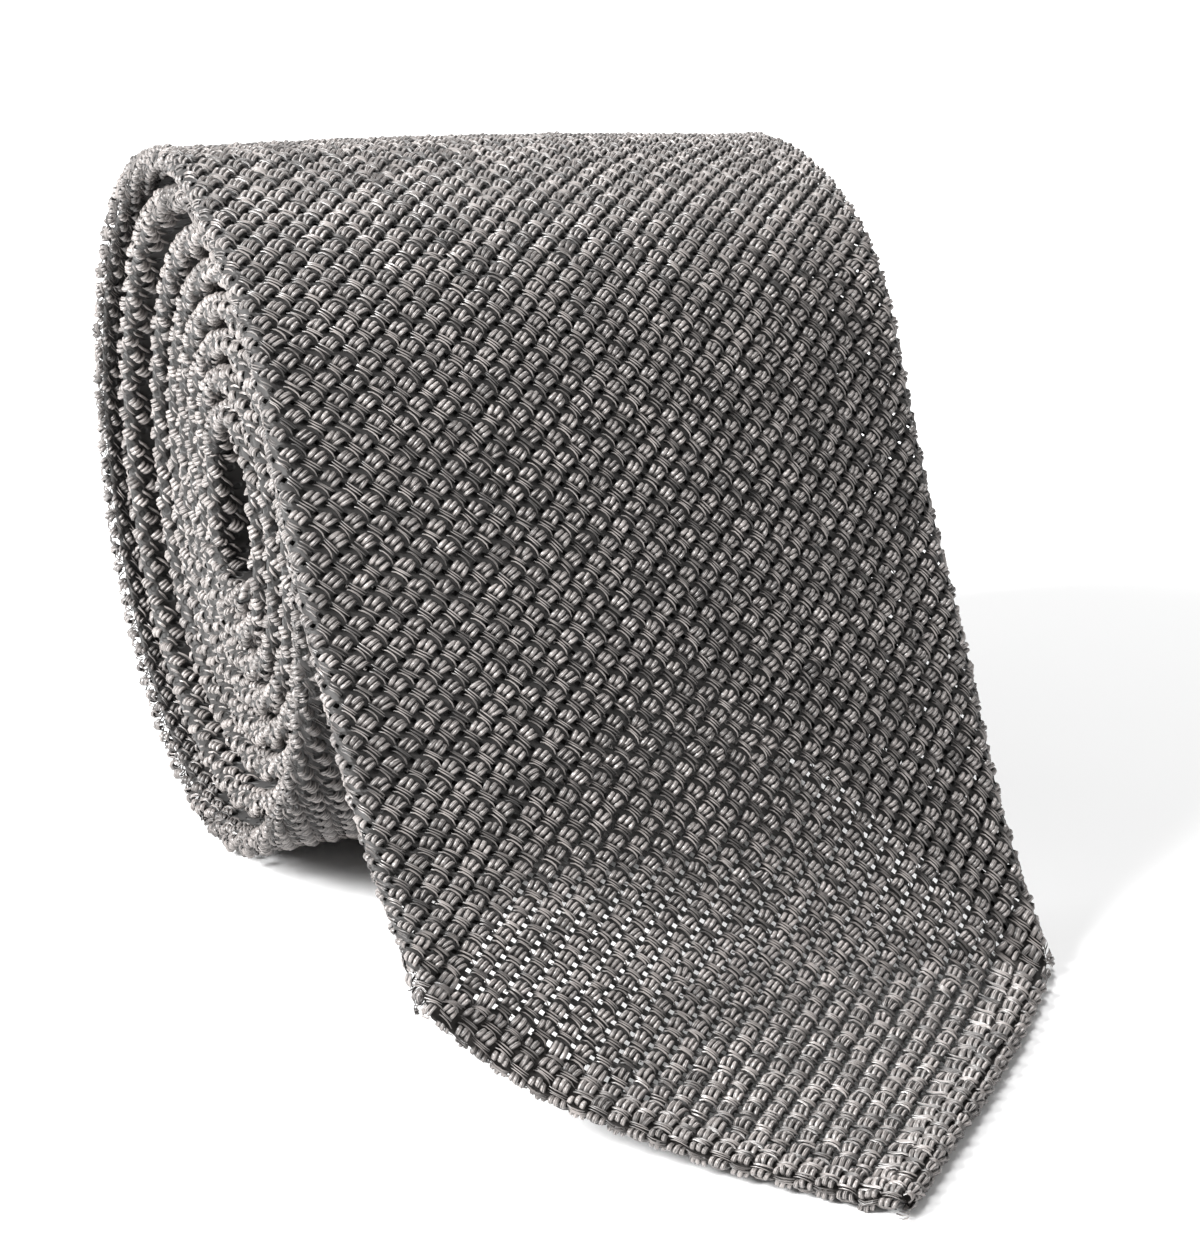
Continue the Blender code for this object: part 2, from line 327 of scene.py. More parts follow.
beadYarns = [
    ([(-0.80, -0.52, 0.92), (-0.42, -0.48, 0.10), (0.06, -0.42, -0.07),
      (0.54, -0.36, 0.12), (0.86, -0.32, 0.92)], 0.64, 0.34),
    ([(-0.74, 0.04, 0.92), (-0.36, 0.08, 0.06), (0.12, 0.13, -0.11),
      (0.60, 0.18, 0.08), (0.92, 0.22, 0.92)], 0.62, 0.34),
    ([(-0.84, 0.56, 0.92), (-0.44, 0.60, 0.14), (0.04, 0.65, -0.04),
      (0.50, 0.70, 0.14), (0.80, 0.74, 0.92)], 0.60, 0.32),
    ([(-1.05, -1.00, 0.62), (-1.22, -0.20, 0.32), (-1.26, 0.40, 0.32),
      (-1.40, 1.10, 0.64)], 0.38, 0.20),
]


# One strand of yarn as a rounded strip, open below: a grid drawn over its places.
strandForm = {
    "ahead": 0.1,              # its direction is taken over this share of its length on both sides
    "slimmer": 0.25,           # its ends are narrower by this share
    "mapStep": 0.3,
    # Painted shade darkens each strand's sides and ends as if they lay in the grooves' shadow; the next
    # three set how much light tone stays at the rims and the ends.
    "rimPaintedLight": 0.45,          # how far a strand two faces wide keeps its light tone at the rims
    "endPaintedLight": 0.35,          # and how far each strand does at its ends
    "paintedLightRise": 5.0,
}


def layStrand(bm, places, wide, high, steps, sides, streak):
    places = np.array(places) / 1000
    knots = np.linspace(0, 1, len(places))
    near = strandForm["ahead"]
    rim = 0.0 if sides > 2 else strandForm["rimPaintedLight"]
    grid = bmesh.ops.create_grid(bm, x_segments=steps, y_segments=sides, size=1.0)
    for vert in grid["verts"]:
        t = (vert.co.x + 1) / 2
        side = vert.co.y * math.pi / 2
        spot = [float(np.interp(t, knots, places[:, k])) for k in range(3)]
        ahead = [float(np.interp(min(t + near, 1), knots, places[:, k])) for k in range(2)]
        back = [float(np.interp(max(t - near, 0), knots, places[:, k])) for k in range(2)]
        run = Vector((ahead[0] - back[0], ahead[1] - back[1])).normalized()
        reach = wide / 2000 * math.sin(side) * (1 - strandForm["slimmer"] * (2 * t - 1) ** 2)
        drop = high / 1000 * (1 - math.cos(side))
        vert[streak["across"]] = math.sin(side) * wide
        vert[streak["run"]] = t * (len(places) - 1) * strandForm["mapStep"]
        # Painted shade: the tone is kept light along the strand's crown and darkened down its sides and
        # towards its ends.
        crown = rim + (1 - rim) * max(math.cos(side), 0) ** 0.5
        atEnd = strandForm["endPaintedLight"] + strandForm["paintedLightRise"] * t * (1 - t)
        vert[streak["paintedRidgeLight"]] = crown * min(1.0, atEnd)
        vert.co = Vector((spot[0] - run.y * reach, spot[1] + run.x * reach, spot[2] + drop))


def strandTile(name, yarns, stepsFor, sides):
    bm = bmesh.new()
    streak = {key: bm.verts.layers.float.new(key) for key in ("across", "run", "paintedRidgeLight")}
    strandOf = []
    for k, (places, wide, high) in enumerate(yarns):
        layStrand(bm, places, wide, high, stepsFor(places), sides(wide), streak)
        strandOf += [k] * (len(bm.verts) - len(strandOf))
    verts = np.array([vert.co[:] for vert in bm.verts])
    bm.verts.index_update()
    faces = np.array([[vert.index for vert in face.verts] for face in bm.faces])
    marks = np.array([(vert[streak["run"]], vert[streak["across"]]) for vert in bm.verts])
    paintedRidgeLight = np.array([vert[streak["paintedRidgeLight"]] for vert in bm.verts])
    bm.free()
    print("tile", name, "with", 2 * len(faces), "triangles")
    return {"verts": verts, "faces": faces, "marks": marks, "paintedRidgeLight": paintedRidgeLight, "strandOf": np.array(strandOf)}


fullTile = strandTile("full", blockYarns + twistYarns, lambda p: len(p) - 1, lambda w: 3 if w > 0.35 else 2)
plainTile = strandTile("plain", blockYarns + twistYarns[1:], lambda p: len(p) - 1, lambda w: 2)
beadTile = strandTile("bead", beadYarns, lambda p: 4 if len(p) > 4 else 3, lambda w: 3 if w > 0.4 else 2)
lightTile = strandTile("light", beadYarns, lambda p: 3, lambda w: 2)


def latticePlaces(sLow, sHigh, xHigh):
    margin = weave["margin"]
    reach = (sHigh + xHigh) / root2 + margin
    columns = np.arange(-int(reach / weave["column"]), int(margin / weave["column"]) + 1)
    rows = np.arange(-int(margin / weave["half"]), int(reach / weave["half"] / 2) + 1)
    column, row = np.meshgrid(columns, rows)
    u = (2 * row + column % 2) * weave["half"] + weave["startU"]
    v = column * weave["column"] - weave["startV"]
    s = (u - v) / root2
    keep = (s >= sLow) & (s < sHigh) & (np.abs(u + v) / root2 < xHigh)
    return u[keep], v[keep]


# Where a place of the lattice lies on the flat cut panel: s, x, and whether it is under a hem.
def flatPlace(u, v):
    r = tie["hemThick"] / 2
    inHem = (u < r - math.pi * r) | (-v < r - math.pi * r)
    s = (np.maximum(u, 0) + np.maximum(-v, 0)) / root2
    x = unpull((np.maximum(u, 0) - np.maximum(-v, 0)) / root2, s)
    return s, x, inHem


def weaveMesh(name, tile, u, v, material, seed):
    random = np.random.default_rng(seed)
    count = len(u)
    turn = random.normal(0, weave["unevenTurn"], (count, 1))
    shift = random.normal(0, weave["unevenShift"], (count, 2, 1))
    deeper = random.normal(0, weave["unevenDeep"], (count, 1))
    strandOf, strands = tile["strandOf"], tile["strandOf"][-1] + 1
    stray = random.normal(0, 1, (count, strands, 3)) * weave["unevenStrand"]
    local = tile["verts"] + stray[:, strandOf]
    local[..., 1] += random.normal(0, weave["unevenTilt"], (count, strands))[:, strandOf] * local[..., 0]
    overHem = ((u < weave["hemReach"]) | (-v < weave["hemReach"]))[:, None]
    grown = np.where(overHem, weave["hemGrown"], 1.0)
    onFold = np.abs(np.abs(u + v) / root2 - halfBlade - weave["foldMiddle"]) < weave["foldReach"]
    fromHem = np.minimum(u, -v)
    atCorner = (fromHem < weave["cornerReach"]) & onFold
    atTip = (u < weave["tipNear"]) & (-v < weave["tipNear"])
    nearCorner = (fromHem < weave["cornerNear"]) & onFold | atTip
    grown = np.where(atCorner[:, None], weave["cornerShrunk"], grown)
    atU = u[:, None] + shift[:, 0] + grown * (local[..., 0] * np.cos(turn) - local[..., 1] * np.sin(turn))
    atV = v[:, None] + shift[:, 1] + grown * (local[..., 0] * np.sin(turn) + local[..., 1] * np.cos(turn))
    depth = local[..., 2] + deeper - np.where(overHem, weave["hemRaised"], 0.0)
    depth = np.where(nearCorner[:, None], np.minimum(depth, weave["cornerDeep"]), depth)
    world = clothPoint(atU, atV, depth)
    faces = (tile["faces"][None] + (np.arange(count) * len(strandOf))[:, None, None]).reshape(-1)
    mesh = bpy.data.meshes.new(name)
    mesh.vertices.add(count * len(strandOf))
    mesh.vertices.foreach_set("co", world.reshape(-1))
    mesh.loops.add(len(faces))
    mesh.loops.foreach_set("vertex_index", faces.astype(np.int32))
    mesh.polygons.add(len(faces) // 4)
    mesh.polygons.foreach_set("loop_start", np.arange(0, len(faces), 4, dtype=np.int32))
    mesh.update(calc_edges=True)
    strandMap = mesh.uv_layers.new(name="strand")
    marks = np.tile(tile["marks"][tile["faces"].reshape(-1)], (count, 1))
    marks[:, 0] += np.repeat(random.uniform(0, 40, count), tile["faces"].size)
    strandMap.data.foreach_set("uv", marks.astype(np.float32).reshape(-1))
    tone = mesh.attributes.new("tone", "FLOAT", "POINT")
    tones = random.uniform(0, 1, (count, 1)) * 0.5 + random.uniform(0, 1, (count, strands)) * 0.5
    tone.data.foreach_set("value", tones[:, strandOf].astype(np.float32).reshape(-1))
    # the painted shade of the strands' grooves and ends, for the material
    paintedRidgeLight = mesh.attributes.new("paintedRidgeLight", "FLOAT", "POINT")
    paintedRidgeLight.data.foreach_set("value", np.tile(tile["paintedRidgeLight"], count).astype(np.float32))
    mesh.shade_smooth()
    mesh.materials.append(material)
    piece = bpy.data.objects.new(name, mesh)
    bpy.context.scene.collection.objects.link(piece)
    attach(piece, "root")
    print(name, count, "blocks,", 2 * len(faces) // 4, "triangles")
    return piece


# Materials, from two shared groups.
def socket(group, name, kind, out=False, value=None):
    made = group.interface.new_socket(name=name, in_out="OUTPUT" if out else "INPUT", socket_type=kind)
    if value is not None:
        made.default_value = value


# Fine filaments along each strand, from its own map, with a change of tone from block to block, and painted
# shade that darkens each strand towards Dark down its sides and at its ends.
def silkToneGroup():
    group = bpy.data.node_groups.new("silkTone", "ShaderNodeTree")
    socket(group, "Dark", "NodeSocketColor", value=(0.1, 0.09, 0.085, 1))
    socket(group, "Light", "NodeSocketColor", value=(0.3, 0.28, 0.26, 1))
    socket(group, "Streak Scale", "NodeSocketFloat", value=14.0)
    socket(group, "Color", "NodeSocketColor", out=True)
    socket(group, "Roughness", "NodeSocketFloat", out=True)
    socket(group, "Height", "NodeSocketFloat", out=True)
    node, link = group.nodes.new, group.links.new
    given, made = node("NodeGroupInput"), node("NodeGroupOutput")
    strandMap = node("ShaderNodeUVMap")
    strandMap.uv_map = "strand"
    stretch = node("ShaderNodeMapping")
    stretch.inputs["Scale"].default_value = (0.108, 1.0, 1.0)
    streaks = node("ShaderNodeTexNoise")
    streaks.noise_dimensions = "2D"
    streaks.inputs["Detail"].default_value = 2.0
    link(strandMap.outputs["UV"], stretch.inputs["Vector"])
    link(stretch.outputs["Vector"], streaks.inputs["Vector"])
    link(given.outputs["Streak Scale"], streaks.inputs["Scale"])
    tone = node("ShaderNodeAttribute")
    tone.attribute_name = "tone"
    blend = node("ShaderNodeMath")
    blend.operation = "MULTIPLY_ADD"
    blend.inputs[1].default_value = 0.24
    link(tone.outputs["Fac"], blend.inputs[0])
    spread = node("ShaderNodeMapRange")
    spread.inputs["From Min"].default_value = 0.38
    spread.inputs["From Max"].default_value = 0.62
    spread.inputs["To Max"].default_value = 0.80
    link(streaks.outputs["Fac"], spread.inputs["Value"])
    link(spread.outputs["Result"], blend.inputs[2])
    # Painted shade: where this falls to 0, in the grooves beside a strand and at its ends, the colour is
    # darkened towards Dark.
    paintedRidgeLight = node("ShaderNodeAttribute")        # 1 along the top of a strand, 0 in the grooves beside it
    paintedRidgeLight.attribute_name = "paintedRidgeLight"
    paintedGrooveShade = node("ShaderNodeMapRange")
    paintedGrooveShade.inputs["From Min"].default_value = 0.05
    paintedGrooveShade.inputs["From Max"].default_value = 0.95
    paintedGrooveShade.inputs["To Min"].default_value = 0.16
    link(paintedRidgeLight.outputs["Fac"], paintedGrooveShade.inputs["Value"])
    lit = node("ShaderNodeMath")
    lit.operation = "MULTIPLY"
    link(blend.outputs[0], lit.inputs[0])
    link(paintedGrooveShade.outputs["Result"], lit.inputs[1])
    mix = node("ShaderNodeMix")
    mix.data_type = "RGBA"
    link(lit.outputs[0], mix.inputs["Factor"])
    link(given.outputs["Dark"], mix.inputs["A"])
    link(given.outputs["Light"], mix.inputs["B"])
    link(mix.outputs["Result"], made.inputs["Color"])
    rough = node("ShaderNodeMapRange")
    rough.inputs["To Min"].default_value = 0.48
    rough.inputs["To Max"].default_value = 0.30
    link(blend.outputs[0], rough.inputs["Value"])
    link(rough.outputs["Result"], made.inputs["Roughness"])
    link(streaks.outputs["Fac"], made.inputs["Height"])
    return group


# The same cloth below the strands: yarn that crosses round the holes, drawn in lattice units. Its colours
# are painted shade: the yarn far darker than the strands, where it lies deep in the weave, and the holes
# near-black, as shaded openings.
def silkGroundGroup():
    group = bpy.data.node_groups.new("silkGround", "ShaderNodeTree")
    socket(group, "Yarn", "NodeSocketColor", value=(0.12, 0.11, 0.1, 1))
    socket(group, "Hole", "NodeSocketColor", value=(0.01, 0.01, 0.01, 1))
    socket(group, "Hole Size", "NodeSocketFloat", value=0.28)
    socket(group, "Color", "NodeSocketColor", out=True)
    socket(group, "Height", "NodeSocketFloat", out=True)
    node, link = group.nodes.new, group.links.new
    given, made = node("NodeGroupInput"), node("NodeGroupOutput")
    latticeMap = node("ShaderNodeUVMap")
    latticeMap.uv_map = "lattice"
    parts = node("ShaderNodeSeparateXYZ")
    link(latticeMap.outputs["UV"], parts.inputs[0])
    away = []
    for axis in ("X", "Y"):
        near = node("ShaderNodeMath")
        near.operation = "PINGPONG"
        near.inputs[1].default_value = 0.5
        link(parts.outputs[axis], near.inputs[0])
        away.append(near)
    scaled = node("ShaderNodeMath")
    scaled.operation = "MULTIPLY"
    scaled.inputs[1].default_value = weave["column"] / weave["half"]
    link(away[1].outputs[0], scaled.inputs[0])
    both = node("ShaderNodeCombineXYZ")
    link(away[0].outputs[0], both.inputs["X"])
    link(scaled.outputs[0], both.inputs["Y"])
    distance = node("ShaderNodeVectorMath")
    distance.operation = "LENGTH"
    link(both.outputs[0], distance.inputs[0])
    rim = node("ShaderNodeMath")
    rim.operation = "SUBTRACT"
    link(distance.outputs["Value"], rim.inputs[0])
    link(given.outputs["Hole Size"], rim.inputs[1])
    mask = node("ShaderNodeMapRange")
    mask.inputs["From Min"].default_value = -0.05
    mask.inputs["From Max"].default_value = 0.12
    link(rim.outputs[0], mask.inputs["Value"])
    mix = node("ShaderNodeMix")
    mix.data_type = "RGBA"
    link(mask.outputs["Result"], mix.inputs["Factor"])
    link(given.outputs["Hole"], mix.inputs["A"])
    link(given.outputs["Yarn"], mix.inputs["B"])
    link(mix.outputs["Result"], made.inputs["Color"])
    link(mask.outputs["Result"], made.inputs["Height"])
    return group


toneGroup = silkToneGroup()
groundGroup = silkGroundGroup()
yarnLook = {"dark": (0.011, 0.0097, 0.0092), "light": (0.372, 0.338, 0.322), "streaks": 4.6,
            "sheen": 0.08, "sheenRoughness": 0.4, "specular": 0.8, "bump": 0.8,
            "bumpDistance": 0.0001}
# Painted shade: the ground yarn is darkened far below the strands' tone and the holes are painted
# near-black, as the shade deep in the weave.
groundShadeLook = {"yarn": (0.019, 0.017, 0.016), "hole": (0.006, 0.0055, 0.005), "holeSize": 0.30,
              "roughness": 0.6, "sheen": 0.2, "bump": 0.6, "bumpDistance": 0.0003}


def yarnMaterial(name, look):
    material = bpy.data.materials.new(name)
    material.use_nodes = True
    nodes, link = material.node_tree.nodes, material.node_tree.links.new
    shader = nodes["Principled BSDF"]
    tone = nodes.new("ShaderNodeGroup")
    tone.node_tree = toneGroup
    tone.inputs["Dark"].default_value = (*look["dark"], 1)
    tone.inputs["Light"].default_value = (*look["light"], 1)
    tone.inputs["Streak Scale"].default_value = look["streaks"]
    bump = nodes.new("ShaderNodeBump")
    bump.inputs["Strength"].default_value = look["bump"]
    bump.inputs["Distance"].default_value = look["bumpDistance"]
    link(tone.outputs["Color"], shader.inputs["Base Color"])
    link(tone.outputs["Roughness"], shader.inputs["Roughness"])
    link(tone.outputs["Height"], bump.inputs["Height"])
    link(bump.outputs["Normal"], shader.inputs["Normal"])
    shader.inputs["Sheen Weight"].default_value = look["sheen"]
    shader.inputs["Sheen Roughness"].default_value = look["sheenRoughness"]
    shader.inputs["Specular IOR Level"].default_value = look["specular"]
    return material


def groundMaterial(name, look):
    material = bpy.data.materials.new(name)
    material.use_nodes = True
    nodes, link = material.node_tree.nodes, material.node_tree.links.new
    shader = nodes["Principled BSDF"]
    ground = nodes.new("ShaderNodeGroup")
    ground.node_tree = groundGroup
    ground.inputs["Yarn"].default_value = (*look["yarn"], 1)
    ground.inputs["Hole"].default_value = (*look["hole"], 1)
    ground.inputs["Hole Size"].default_value = look["holeSize"]
    bump = nodes.new("ShaderNodeBump")
    bump.inputs["Strength"].default_value = look["bump"]
    bump.inputs["Distance"].default_value = look["bumpDistance"]
    link(ground.outputs["Color"], shader.inputs["Base Color"])
    link(ground.outputs["Height"], bump.inputs["Height"])
    link(bump.outputs["Normal"], shader.inputs["Normal"])
    shader.inputs["Roughness"].default_value = look["roughness"]
    shader.inputs["Sheen Weight"].default_value = look["sheen"]
    return material


# Painted light: a lighter copy of the yarn, with lighter grooves, for the folded edges of the wraps on the
# roll's left end, which face the key light.
edgePaintedLightLook = dict(yarnLook, light=(0.455, 0.414, 0.394), dark=(0.062, 0.056, 0.053))
silkYarn = yarnMaterial("silkYarn", yarnLook)
silkEdgePaintedLight = yarnMaterial("silkEdgePaintedLight", edgePaintedLightLook)        # at the folded edges of the wraps
silkGround = groundMaterial("silkGround", groundShadeLook)
print("materials made")


# Fine cloth below the strands, with its real holes, in front of the roll.
def netFaces(bm, sHigh, xHigh):
    reach = (sHigh + xHigh) / root2
    low = -weave["beyond"]
    rows = int((reach - low) / weave["half"])
    columns = int((reach - low) / weave["column"])
    firstRow, firstColumn = int(-low / weave["half"]), int(-low / weave["column"])
    grid = bmesh.ops.create_grid(bm, x_segments=2 * rows, y_segments=2 * columns, size=1.0)
    hole = weave["hole"] / 2
    near = 0.00002
    for vert in grid["verts"]:
        i = round((vert.co.x + 1) / 2 * 2 * rows)
        j = round((vert.co.y + 1) / 2 * 2 * columns)
        u = (i // 2 - firstRow) * weave["half"] + (hole if i % 2 else -hole) + weave["startU"]
        v = (firstColumn - j // 2 + 0.5) * weave["column"] - (hole if j % 2 else -hole) - weave["startV"]
        vert.co = Vector((u, v, 0))
    gone = []
    for face in bm.faces:
        middle = face.calc_center_median()
        u, v = middle.x, middle.y
        s = (max(u, 0) + max(-v, 0)) / root2
        x = abs(max(u, 0) - max(-v, 0)) / root2
        long = abs(face.verts[0].co.x - face.verts[2].co.x)
        wide = abs(face.verts[0].co.y - face.verts[2].co.y)
        isHole = abs(long - 2 * hole) < near and abs(wide - 2 * hole) < near
        flat = halfBlade - tie["folded"] / 2
        outside = u < hemCover or -v < hemCover or s > sHigh
        outside = outside or x > 2 * flat + math.pi * tie["folded"] / 2 - tie["seam"] / 2
        if isHole or outside:
            gone.append(face)
    bmesh.ops.delete(bm, geom=gone, context="FACES")


def clothMesh(name, bm, material, depth):
    mesh = bpy.data.meshes.new(name)
    latticeLayer = bm.loops.layers.uv.new("lattice")
    for face in bm.faces:
        for loop in face.loops:
            u, v = loop.vert.co.x, loop.vert.co.y
            loop[latticeLayer].uv = ((u - weave["startU"]) / weave["half"],
                                     (v + weave["startV"]) / weave["column"] - 0.5)
    bm.to_mesh(mesh)
    bm.free()
    flat = np.empty(len(mesh.vertices) * 3)
    mesh.vertices.foreach_get("co", flat)
    flat = flat.reshape(-1, 3)
    s, x, _ = flatPlace(flat[:, 0], flat[:, 1])
    halfTurn = math.pi * tie["folded"] / 4
    away = np.abs(np.abs(x) - halfWidth(s) + tie["folded"] / 2 - halfTurn)
    onFold = np.clip((halfTurn + weave["foldPast"] - away) / weave["foldEase"], 0, 1)
    world = clothPoint(flat[:, 0], flat[:, 1], depth - weave["foldRaised"] * onFold)
    mesh.vertices.foreach_set("co", world.reshape(-1))
    mesh.update()
    mesh.shade_smooth()
    mesh.materials.append(material)
    piece = bpy.data.objects.new(name, mesh)
    bpy.context.scene.collection.objects.link(piece)
    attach(piece, "root")
    print(name, len(mesh.polygons), "faces")
    return piece


# Closer cloth, between two places along the tie: one grid across from seam to seam.
def bandFaces(bm, sLow, sHigh, step):
    r = tie["folded"] / 2
    arc = math.pi * r
    across = np.concatenate([
        np.linspace(0.0, 1.0, 9)[:-1], 1.0 + np.linspace(0, 1, 7)[:-1], 2.0 + np.linspace(0, 1, 6)])
    across = np.concatenate([-across[:0:-1], across])
    count = int((sHigh - sLow) / step)
    grid = bmesh.ops.create_grid(bm, x_segments=len(across) - 1, y_segments=count, size=1.0)
    for vert in grid["verts"]:
        part = across[round((vert.co.x + 1) / 2 * (len(across) - 1))]
        s = sLow + (sHigh - sLow) * (vert.co.y + 1) / 2
        flat = max(float(halfWidth(s)) - r, 0.0002)
        share = abs(part)
        behind = max(share - 2, 0) * (flat - tie["seam"] / 2)
        x = min(share, 1) * flat + min(max(share - 1, 0), 1) * arc + behind
        x = math.copysign(x, part)
        vert.co = Vector(((s + x) / root2, (x - s) / root2, 0))


netEnd = 0.170
netBm = bmesh.new()
netFaces(netBm, netEnd, 2 * halfBlade + 0.002)
bandFaces(netBm, netEnd - 0.0006, tie["bladeEnd"], step=0.0045)
bladeCloth = clothMesh("blade_cloth", netBm, silkGround, weave["groundDeep"])
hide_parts("blade", "blade_flap_left", "blade_flap_right")

neckBm = bmesh.new()
bandFaces(neckBm, tie["bladeEnd"] + tie["seam"], tie["neckEnd"], step=0.0040)
neckCloth = clothMesh("neck_cloth", neckBm, silkGround, weave["groundDeep"])
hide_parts("neck")

tailBm = bmesh.new()
bandFaces(tailBm, tie["neckEnd"] + tie["seam"], tieEnd - 0.0004, step=0.0032)
tailCloth = clothMesh("tail_cloth", tailBm, silkGround, weave["groundDeep"])
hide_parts("tail")


# The cloth rolled up inside each hem: an oval that runs along the hem's edge, coloured near-black as
# painted shade where it shows between the strands.
hemRolled = {
    "rings": 30,
    "middle": 0.0028,          # the oval's middle, from the edge
    "halfWide": 0.0021,
    "halfThick": 0.0008,
    "deeper": 0.0002,
    "tipStart": 0.0008,
    "tipGap": 0.0009,
    "flapGap": 0.0026,
}
# Painted shade: the rolled hem cloth is near-black, far darker than the silk, as shade between the strands.
coreShadeLook = {"dark": (0.006, 0.0055, 0.005), "light": (0.040, 0.036, 0.034), "grain": 1800.0,
            "roughness": 0.8, "specular": 0.2}


def hemRoll(name, side, onFlap):
    bm = bmesh.new()
    rings = hemRolled["rings"]
    bmesh.ops.create_circle(bm, cap_ends=True, segments=10, radius=1.0)
    low = tie["seam"] if onFlap else hemRolled["tipStart"]
    high = halfBlade - (hemRolled["flapGap"] if onFlap else hemRolled["tipGap"])
    proud = tie["flapHemProud"] if onFlap else tie["hemProud"]
    faces = bm.faces[:]
    for ring in range(rings):
        grown = bmesh.ops.extrude_face_region(bm, geom=faces)
        faces = [item for item in grown["geom"] if isinstance(item, bmesh.types.BMFace)]
        for item in grown["geom"]:
            if isinstance(item, bmesh.types.BMVert):
                item.co.z = (ring + 1) / rings
        bm.faces.ensure_lookup_table()
    for vert in bm.verts:
        x = low + (high - low) * vert.co.z
        q = hemRolled["middle"] + hemRolled["halfWide"] * vert.co.x
        deep = -proud + tie["hemThick"] / 2 + hemRolled["deeper"] + hemRolled["halfThick"] * vert.co.y
        base = (2 * halfBlade - x) if onFlap else x
        s = base + q * root2
        facing = -1 if onFlap else 1
        depth = (tie["folded"] if onFlap else 0) + facing * deep
        vert.co = Vector(ontoPath(np.array(s), np.array(side * x), np.array(depth)))
    bmesh.ops.recalc_face_normals(bm, faces=bm.faces)
    mesh = bpy.data.meshes.new(name)
    bm.to_mesh(mesh)
    bm.free()
    mesh.shade_smooth()
    mesh.materials.append(shadedHemCore)
    piece = bpy.data.objects.new(name, mesh)
    bpy.context.scene.collection.objects.link(piece)
    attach(piece, "root")
    return piece


def coreMaterial(name, look):
    material = bpy.data.materials.new(name)
    material.use_nodes = True
    nodes, link = material.node_tree.nodes, material.node_tree.links.new
    shader = nodes["Principled BSDF"]
    coords = nodes.new("ShaderNodeTexCoord")
    noise = nodes.new("ShaderNodeTexNoise")
    noise.inputs["Scale"].default_value = look["grain"]
    ramp = nodes.new("ShaderNodeMix")
    ramp.data_type = "RGBA"
    ramp.inputs["A"].default_value = (*look["dark"], 1)
    ramp.inputs["B"].default_value = (*look["light"], 1)
    link(coords.outputs["Object"], noise.inputs["Vector"])
    link(noise.outputs["Fac"], ramp.inputs["Factor"])
    link(ramp.outputs["Result"], shader.inputs["Base Color"])
    shader.inputs["Roughness"].default_value = look["roughness"]
    shader.inputs["Specular IOR Level"].default_value = look["specular"]
    return material


shadedHemCore = coreMaterial("silkHemCoreShaded", coreShadeLook)
for side, hand in ((-1, "left"), (1, "right")):
    for onFlap, kind in ((False, "tip"), (True, "flap")):
        piece = hemRoll(kind + "_hem_" + hand + "_roll", side, onFlap)
        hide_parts(kind + "_hem_" + hand)
print("hems made")


# The strands of the weave, zone by zone.
def weaveZone(sLow, sHigh, xLow, xHigh, side):
    margin = weave["margin"]
    u, v = latticePlaces(max(sLow, 0) - margin, sHigh + margin, 2 * halfBlade + weave["beyond"])
    s, x, inHem = flatPlace(u, v)
    flat = halfWidth(s) - tie["folded"] / 2
    arc = math.pi * tie["folded"] / 2
    far = np.abs(x) - flat
    edge = 2 * flat + arc - weave["seamGap"]
    keep = (s >= sLow) & (s < sHigh) & (far >= xLow) & (far < xHigh) & (np.abs(x) < edge) & ~inHem
    fromFold = np.abs(np.abs(u + v) / root2 - halfBlade - weave["foldMiddle"])
    onRim = (u < weave["rim"]) | (-v < weave["rim"])
    keep &= ~(onRim & (fromFold < weave["rimGap"]))
    keep &= ~((u < weave["tipGap"]) & (-v < weave["tipGap"]))
    if side:
        keep &= np.sign(x) == side
    return u[keep], v[keep], x[keep]


# A zone too large for one piece is shared out across the tie.
def layZone(name, tile, sLow, sHigh, xLow, xHigh, seed, side, most=190000):
    u, v, x = weaveZone(sLow, sHigh, xLow, xHigh, side)
    each = 2 * len(tile["faces"])
    bits = max(1, math.ceil(len(u) * each / most))
    order = np.argsort(x, kind="stable")
    made = []
    for k, chosen in enumerate(np.array_split(order, bits)):
        label = name if bits == 1 else name + "_" + str(k + 1)
        # the left side's folded edges take the lighter copy of the yarn, painted light
        material = silkEdgePaintedLight if side < 0 else silkYarn
        made.append(weaveMesh(label, tile, u[chosen], v[chosen], material, seed + k))
    return made


arcLong = math.pi * tie["folded"] / 2
pastFold, pastEdge = arcLong + 0.0025, arcLong + 0.002
beforeEdge = -0.0030
inFront = 0.205              # the weave is fullest as far as the top of the roll
outerEnd = 0.435             # from here on, only the folded edges of the wraps can be seen
flapsEnd = 0.158             # the flaps behind the blade are half seen as far as this
bladeEnd, neckEnd = tie["bladeEnd"], tie["neckEnd"]
frontTile, rollTile = ((fullTile, plainTile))
# Piece, tile, from and to along the tie, from and to past the flat face, seed, side of the tie.
zones = {
    "blade": [
        ("weave_front", frontTile, -0.02, inFront, -1, pastFold, 11, 0),
        ("weave_flaps", lightTile, 0.0, flapsEnd, pastFold, 1, 23, 0),
        ("weave_roll", rollTile, inFront, outerEnd, -1, pastEdge, 31, 0),
        ("weave_blade_left", beadTile, outerEnd, bladeEnd, beforeEdge, pastEdge, 43, -1),
        ("weave_blade_right", lightTile, outerEnd, bladeEnd, beforeEdge, pastEdge, 47, 1),
    ],
    "neck": [
        ("weave_neck_left", beadTile, bladeEnd, neckEnd, beforeEdge, pastEdge, 53, -1),
        ("weave_neck_right", lightTile, bladeEnd, neckEnd, beforeEdge, pastEdge, 59, 1),
    ],
    "tail": [
        ("weave_tail_left", beadTile, neckEnd, tieEnd, beforeEdge, pastEdge, 61, -1),
        ("weave_tail_right", lightTile, neckEnd, tieEnd, beforeEdge, pastEdge, 67, 1),
    ],
}
bladeWeave, neckWeave, tailWeave = [
    [piece for row in rows for piece in layZone(*row)] for rows in zones.values()]


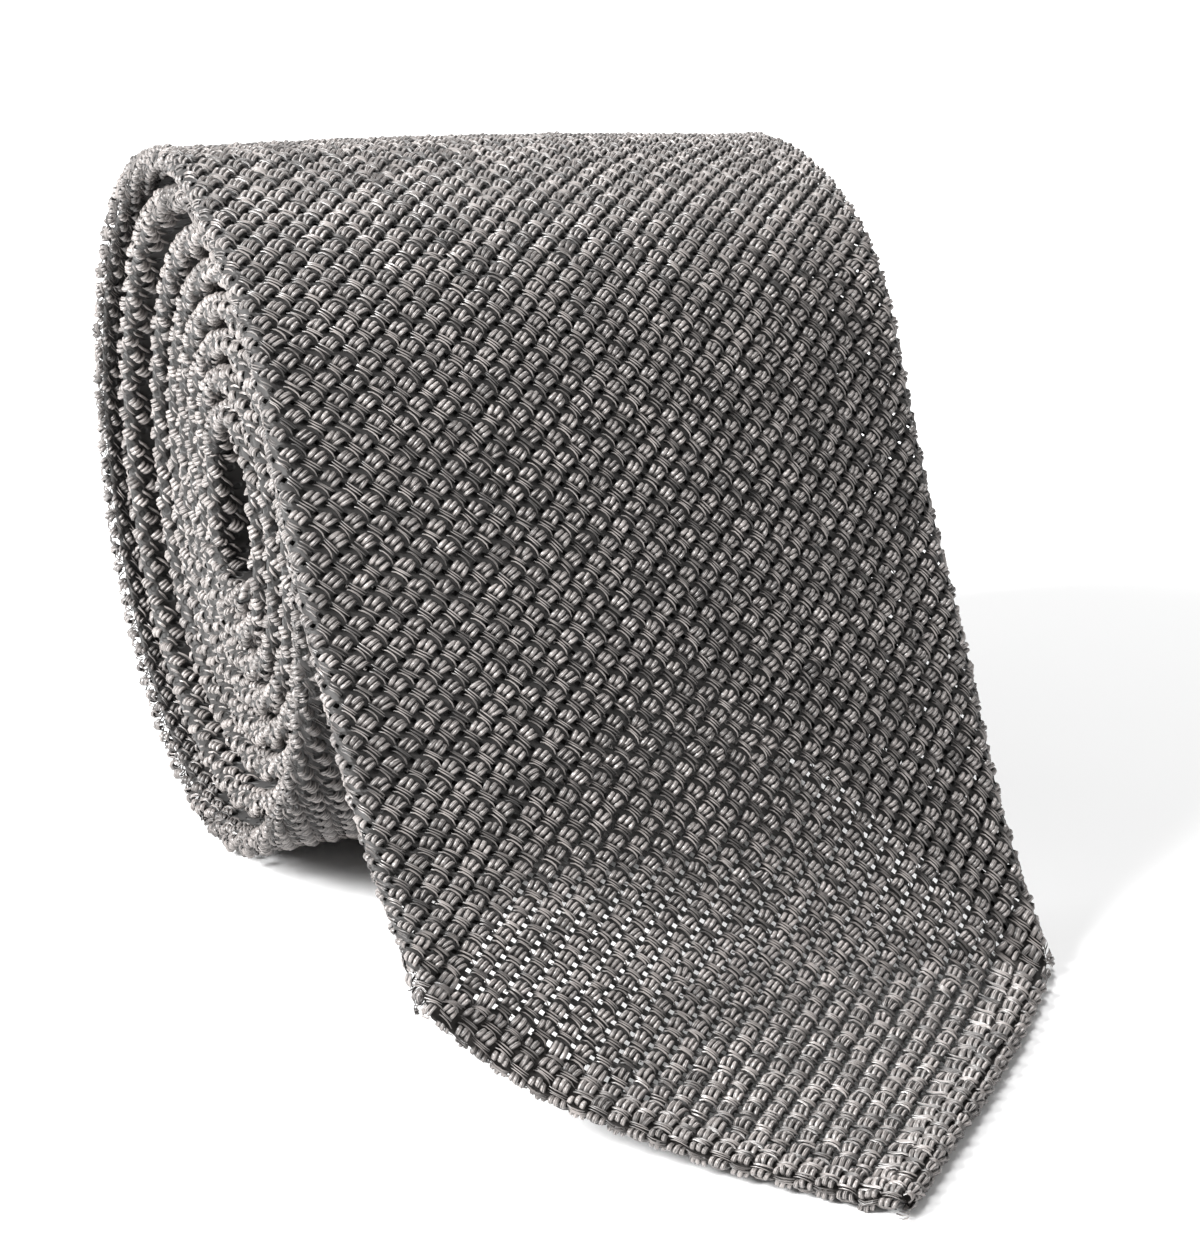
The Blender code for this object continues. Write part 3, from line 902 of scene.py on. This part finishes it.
# Floor, light and camera.
studio = {
    "floor": (0.93, 0.93, 0.93),
    "floorSize": 3.0,
    "floorRoughness": 0.9,
    "floorSpecular": 0.1,
    "world": 0.22,
    "lights": [
        # name, place, size, power, aimed at
        ("key", (-1.08, 0.00, 0.76), 0.50, 42.0, (0, 0, 0.04)),
        ("back", (0.30, 0.60, 1.00), 0.4, 12.0, (0, 0, 0.05)),
        ("front", (0.10, -1.30, 0.60), 1.0, 4.6, (0, 0, 0.04)),
    ],
}
view = {"place": (-0.16588, -0.40174, 0.21725), "target": (-0.00403, -0.00548, 0.03839),
        "lens": 114.0, "sensor": 36.0}


def makeFloor():
    bm = bmesh.new()
    bmesh.ops.create_grid(bm, x_segments=1, y_segments=1, size=studio["floorSize"])
    mesh = bpy.data.meshes.new("floor")
    bm.to_mesh(mesh)
    bm.free()
    material = bpy.data.materials.new("floorWhite")
    material.use_nodes = True
    shader = material.node_tree.nodes["Principled BSDF"]
    shader.inputs["Base Color"].default_value = (*studio["floor"], 1)
    shader.inputs["Roughness"].default_value = studio["floorRoughness"]
    shader.inputs["Specular IOR Level"].default_value = studio["floorSpecular"]
    mesh.materials.append(material)
    floor = bpy.data.objects.new("floor", mesh)
    bpy.context.scene.collection.objects.link(floor)


def aimed(obj, place, target):
    obj.location = place
    obj.rotation_euler = (Vector(target) - Vector(place)).to_track_quat("-Z", "Y").to_euler()
    bpy.context.scene.collection.objects.link(obj)


def makeStudio():
    scene = bpy.context.scene
    world = bpy.data.worlds.new("studio")
    scene.world = world
    world.use_nodes = True
    world.node_tree.nodes["Background"].inputs["Color"].default_value = (1, 1, 1, 1)
    world.node_tree.nodes["Background"].inputs["Strength"].default_value = studio["world"]
    for name, place, size, power, target in studio["lights"]:
        light = bpy.data.lights.new(name, "AREA")
        light.shape = "SQUARE"
        light.size = size
        light.energy = power
        aimed(bpy.data.objects.new(name, light), place, target)
    lens = bpy.data.cameras.new("camera")
    lens.lens = view["lens"]
    lens.sensor_width = view["sensor"]
    lens.clip_start = 0.01
    camera = bpy.data.objects.new("camera", lens)
    aimed(camera, view["place"], view["target"])
    scene.camera = camera
    scene.view_settings.view_transform = "Standard"


makeFloor()
makeStudio()
print("studio made")
